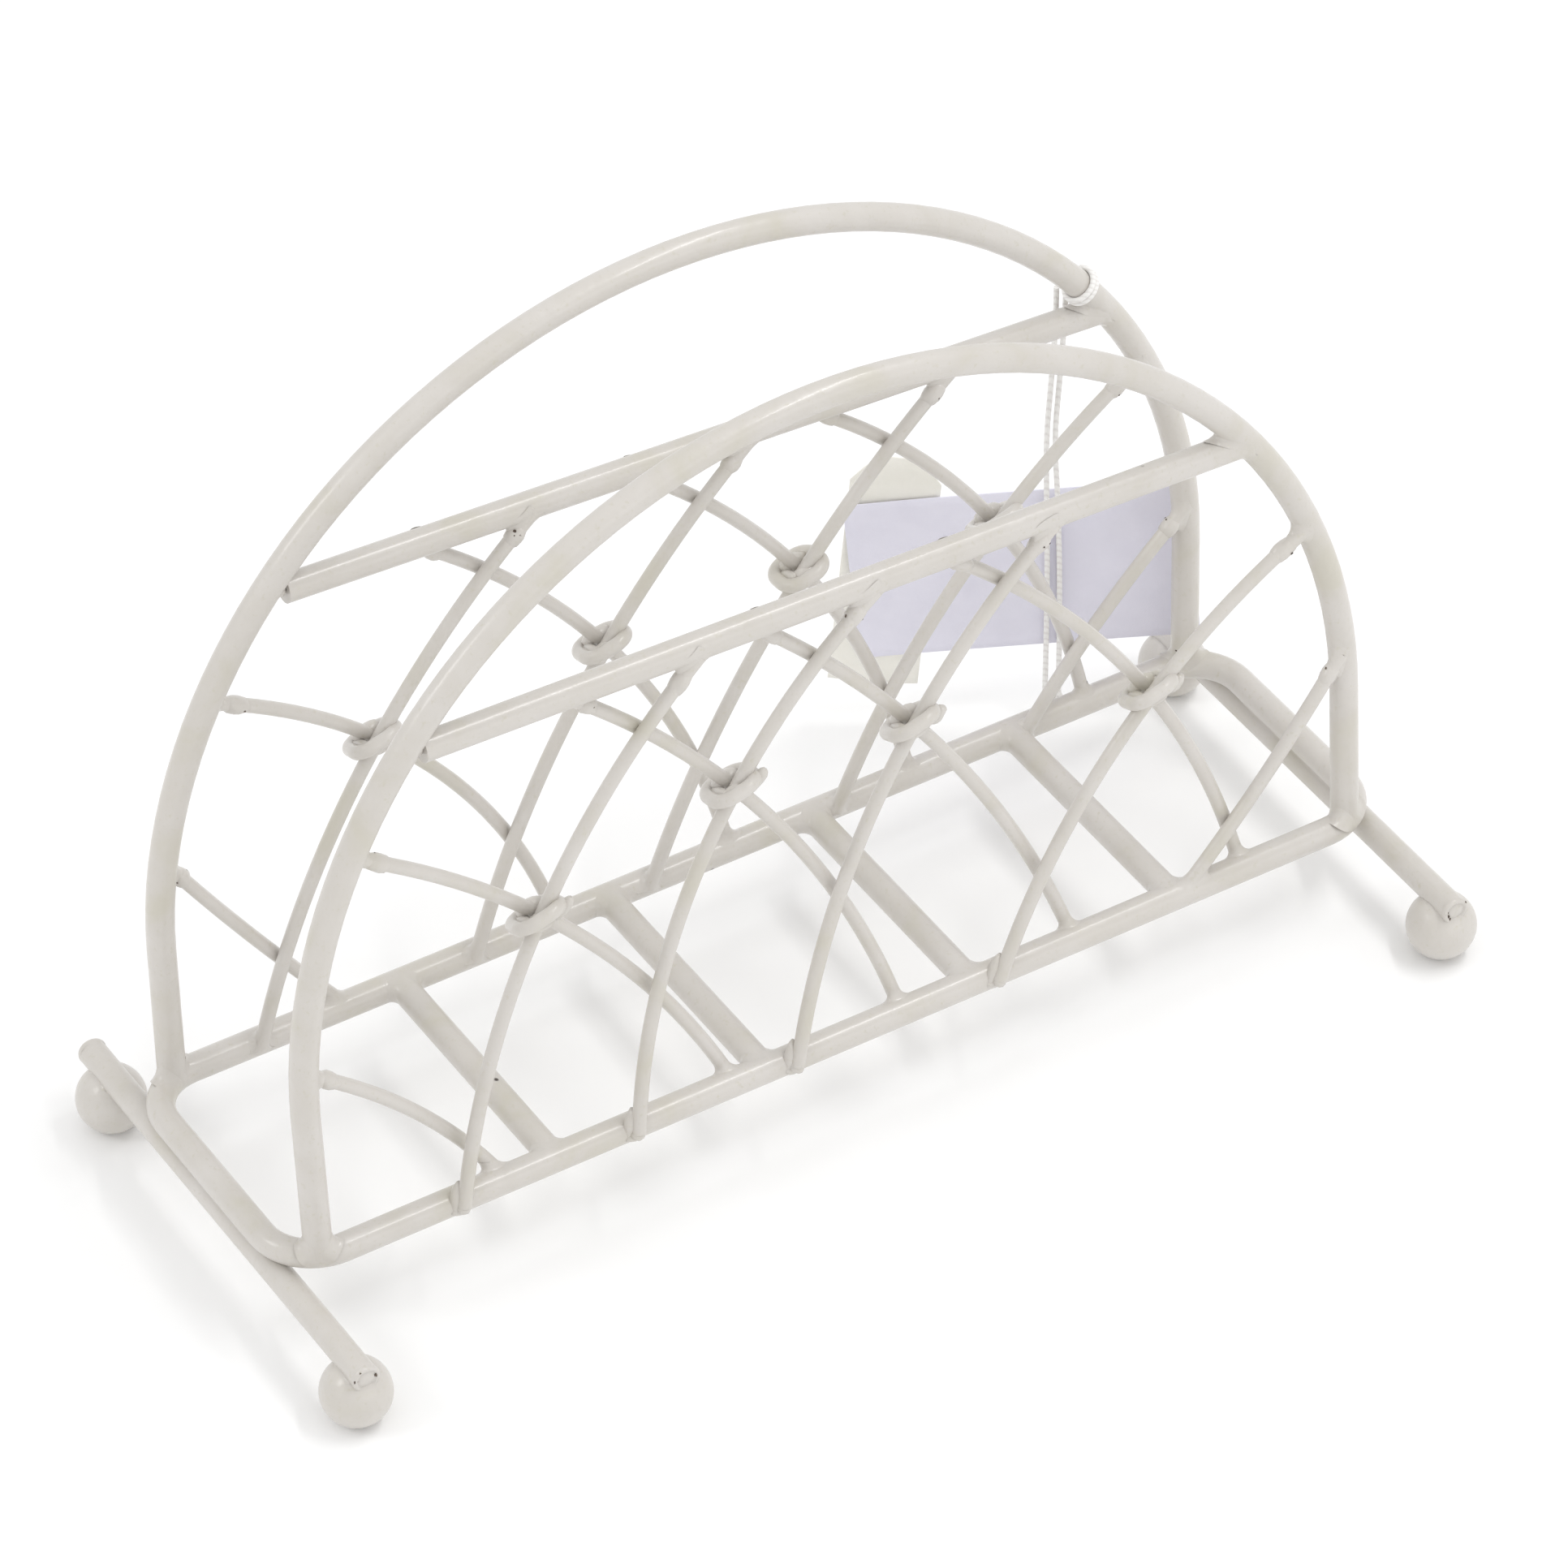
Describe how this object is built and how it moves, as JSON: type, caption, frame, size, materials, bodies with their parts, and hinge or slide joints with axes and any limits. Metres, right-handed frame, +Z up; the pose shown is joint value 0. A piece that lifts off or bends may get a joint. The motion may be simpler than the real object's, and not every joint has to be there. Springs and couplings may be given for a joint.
{
  "type": "toast rack",
  "caption": "Painted wire toast rack: two arched panels of crossing wires on a ring base with ball feet, and a paper tag that swings on a thread",
  "frame": {"origin": "on the surface that the rack stands on, under the middle of the rack without its tag", "axes": "X along the rack, Y from the front arch to the back arch, Z up"},
  "size_m": [0.184, 0.0935, 0.1211],
  "materials": {
    "cream_paint": "glossy cream dip paint over steel wire",
    "lilac_thread": "matte twisted cotton thread",
    "lilac_paper": "matte lilac paper, stood in for by a matte plastic",
    "cream_card": "matte cream card, stood in for by a matte plastic"
  },
  "bodies": {
    "rack": {"base_ring": "cream_paint", "cross_bar_1": "cream_paint", "cross_bar_2": "cream_paint", "cross_bar_3": "cream_paint", "cross_bar_4": "cream_paint", "foot_bar_left": "cream_paint", "foot_bar_right": "cream_paint", "ball_foot_front_left": "cream_paint", "ball_foot_back_left": "cream_paint", "ball_foot_front_right": "cream_paint", "ball_foot_back_right": "cream_paint", "front_arch": "cream_paint", "front_chord": "cream_paint", "front_wire_right_1": "cream_paint", "front_wire_right_2": "cream_paint", "front_wire_right_3": "cream_paint", "front_wire_right_4": "cream_paint", "front_wire_right_5": "cream_paint", "front_wire_left_1": "cream_paint", "front_wire_left_2": "cream_paint", "front_wire_left_3": "cream_paint", "front_wire_left_4": "cream_paint", "front_wire_left_5": "cream_paint", "front_tie_1": "cream_paint", "front_tie_2": "cream_paint", "front_tie_3": "cream_paint", "front_tie_4": "cream_paint", "back_arch": "cream_paint", "back_chord": "cream_paint", "back_wire_right_1": "cream_paint", "back_wire_right_2": "cream_paint", "back_wire_right_3": "cream_paint", "back_wire_right_4": "cream_paint", "back_wire_right_5": "cream_paint", "back_wire_left_1": "cream_paint", "back_wire_left_2": "cream_paint", "back_wire_left_3": "cream_paint", "back_wire_left_4": "cream_paint", "back_wire_left_5": "cream_paint", "back_tie_1": "cream_paint", "back_tie_2": "cream_paint", "back_tie_3": "cream_paint", "back_tie_4": "cream_paint", "thread_wrap": "lilac_thread"},
    "tag": {"thread_strand_left": "lilac_thread", "thread_strand_right": "lilac_thread", "tag_label": "lilac_paper", "tag_card": "cream_card"}
  },
  "joints": [
    {"name": "tag_swing", "type": "hinge", "parent": "rack", "child": "tag", "pos_m": [0.0635, 0.0278, 0.087], "axis": [1, 0, 0], "range_deg": [0, 60]}
  ]
}
